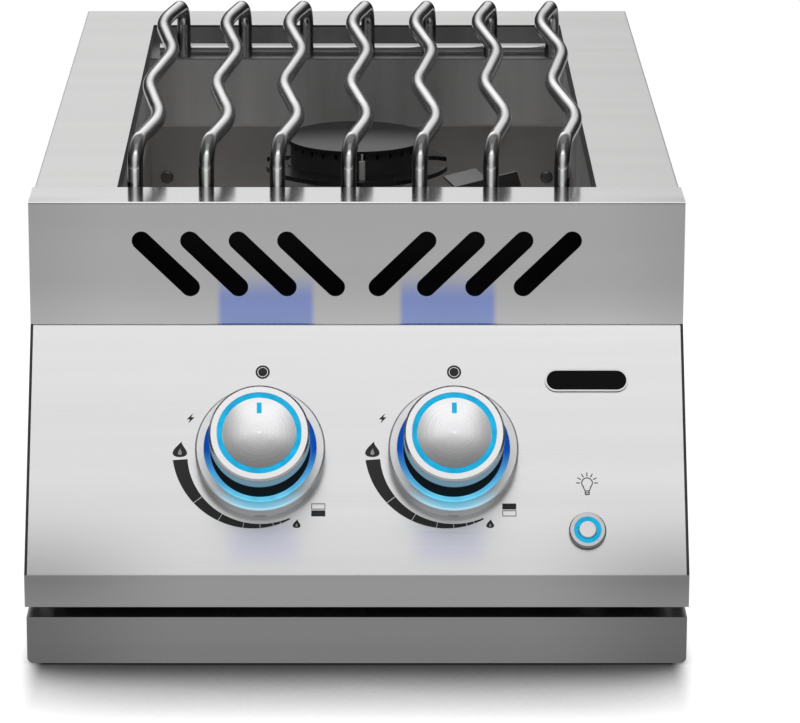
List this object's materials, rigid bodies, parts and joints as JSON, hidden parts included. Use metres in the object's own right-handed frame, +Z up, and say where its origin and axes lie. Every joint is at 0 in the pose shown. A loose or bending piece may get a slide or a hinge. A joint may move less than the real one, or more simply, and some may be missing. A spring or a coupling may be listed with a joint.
{
  "type": "double side burner",
  "caption": "Built-in gas side burner in brushed steel: in-line burners under a wavy rod grid, slotted fascia, sloped panel with lit push-turn knobs and light button, pull-out drip tray.",
  "frame": {"origin": "on the floor, at the middle of the whole: midway between the sides, the knobs and the gas inlet", "axes": "+X to the right seen from the front, +Y to the back, +Z up"},
  "size_m": [0.33, 0.5832, 0.2445],
  "materials": {
    "brushed_steel": "fine horizontal brushing",
    "satin_steel": "satin grey steel",
    "dark_steel": "dark painted steel",
    "plain_steel": "plain mill steel",
    "screw_steel": "bright zinc",
    "galvanised_steel": "galvanised steel",
    "polished_steel": "polished rod",
    "black_enamel": "black enamel",
    "burner_iron": "cast burner ring",
    "cap_steel": "dark satin enamel",
    "white_ceramic": "glazed ceramic",
    "brass": "machined brass",
    "tube_aluminium": "drawn tube",
    "valve_aluminium": "die-cast",
    "stem_steel": "turned steel",
    "knob_metal": "satin chrome",
    "knob_satin": "spun satin",
    "bezel_metal": "satin chrome",
    "black_plastic": "moulded plastic",
    "lead_rubber": "silicone lead",
    "blue_light": "lit translucent ring"
  },
  "bodies": {
    "casing": {"deck": "brushed_steel", "front_fascia": "brushed_steel", "control_panel": "brushed_steel", "left_cheek": "dark_steel", "right_cheek": "dark_steel", "well_frame": "plain_steel", "burner_pan": "plain_steel", "pan_screws": "screw_steel", "panel_screws": "screw_steel", "left_side_panel": "galvanised_steel", "right_side_panel": "galvanised_steel", "rear_panel": "galvanised_steel", "bottom_panel": "galvanised_steel", "rear_brace": "galvanised_steel", "heat_shield": "galvanised_steel", "left_tray_runner": "galvanised_steel", "right_tray_runner": "galvanised_steel", "front_burner_base": "black_enamel", "rear_burner_base": "black_enamel", "front_burner_head": "burner_iron", "rear_burner_head": "burner_iron", "front_electrode": "white_ceramic", "rear_electrode": "white_ceramic", "front_orifice": "brass", "rear_orifice": "brass", "front_supply_tube": "tube_aluminium", "rear_supply_tube": "tube_aluminium", "left_valve_body": "valve_aluminium", "right_valve_body": "valve_aluminium", "left_bezel": "bezel_metal", "right_bezel": "bezel_metal", "left_bezel_light": "blue_light", "right_bezel_light": "blue_light", "manifold": "galvanised_steel", "inlet_fitting": "brass", "button_housing": "bezel_metal", "button_light": "blue_light", "button_nut": "screw_steel", "ignition_module": "black_plastic", "ignition_leads": "lead_rubber", "igniter_guard": "dark_steel", "power_inlet": "black_plastic"},
    "left_valve": {"left_valve_plug": "brass"},
    "right_valve": {"right_valve_plug": "brass"},
    "light_button": {"button_plunger": "knob_satin"},
    "drip_tray": {"drip_tray_pan": "plain_steel", "drip_tray_front": "satin_steel"},
    "cooking_grid": {"grid_rods": "polished_steel", "grid_crossbars": "polished_steel"},
    "front_cap": {"front_burner_cap": "cap_steel"},
    "rear_cap": {"rear_burner_cap": "cap_steel"},
    "left_knob": {"left_valve_stem": "stem_steel", "left_knob_shell": "knob_metal", "left_knob_ring": "blue_light", "left_knob_face": "knob_satin"},
    "right_knob": {"right_valve_stem": "stem_steel", "right_knob_shell": "knob_metal", "right_knob_ring": "blue_light", "right_knob_face": "knob_satin"}
  },
  "joints": [
    {"name": "left_knob_turn", "type": "hinge", "parent": "casing", "child": "left_valve", "pos_m": [-0.0482, -0.25001, 0.09983], "axis": [0, -0.8199, 0.5724], "range_deg": [0, 208]},
    {"name": "left_knob_push", "type": "slide", "parent": "left_valve", "child": "left_knob", "axis": [0, 0.8199, -0.5724], "range_m": [0, 0.003], "stiffness_N_per_m": 1500, "springref_m": -0.002},
    {"name": "right_knob_turn", "type": "hinge", "parent": "casing", "child": "right_valve", "pos_m": [0.0482, -0.25001, 0.09983], "axis": [0, -0.8199, 0.5724], "range_deg": [0, 208]},
    {"name": "right_knob_push", "type": "slide", "parent": "right_valve", "child": "right_knob", "axis": [0, 0.8199, -0.5724], "range_m": [0, 0.003], "stiffness_N_per_m": 1500, "springref_m": -0.002},
    {"name": "light_button_press", "type": "slide", "parent": "casing", "child": "light_button", "axis": [0, 0.8199, -0.5724], "range_m": [0, 0.002], "stiffness_N_per_m": 800, "springref_m": -0.0015},
    {"name": "drip_tray_slide", "type": "slide", "parent": "casing", "child": "drip_tray", "axis": [0, -1, 0], "range_m": [0, 0.38]},
    {"name": "grid_lift", "type": "slide", "parent": "casing", "child": "cooking_grid", "axis": [0, 0, 1], "range_m": [0, 0.15]},
    {"name": "front_cap_lift", "type": "slide", "parent": "casing", "child": "front_cap", "axis": [0, 0, 1], "range_m": [0, 0.025]},
    {"name": "rear_cap_lift", "type": "slide", "parent": "casing", "child": "rear_cap", "axis": [0, 0, 1], "range_m": [0, 0.025]}
  ]
}
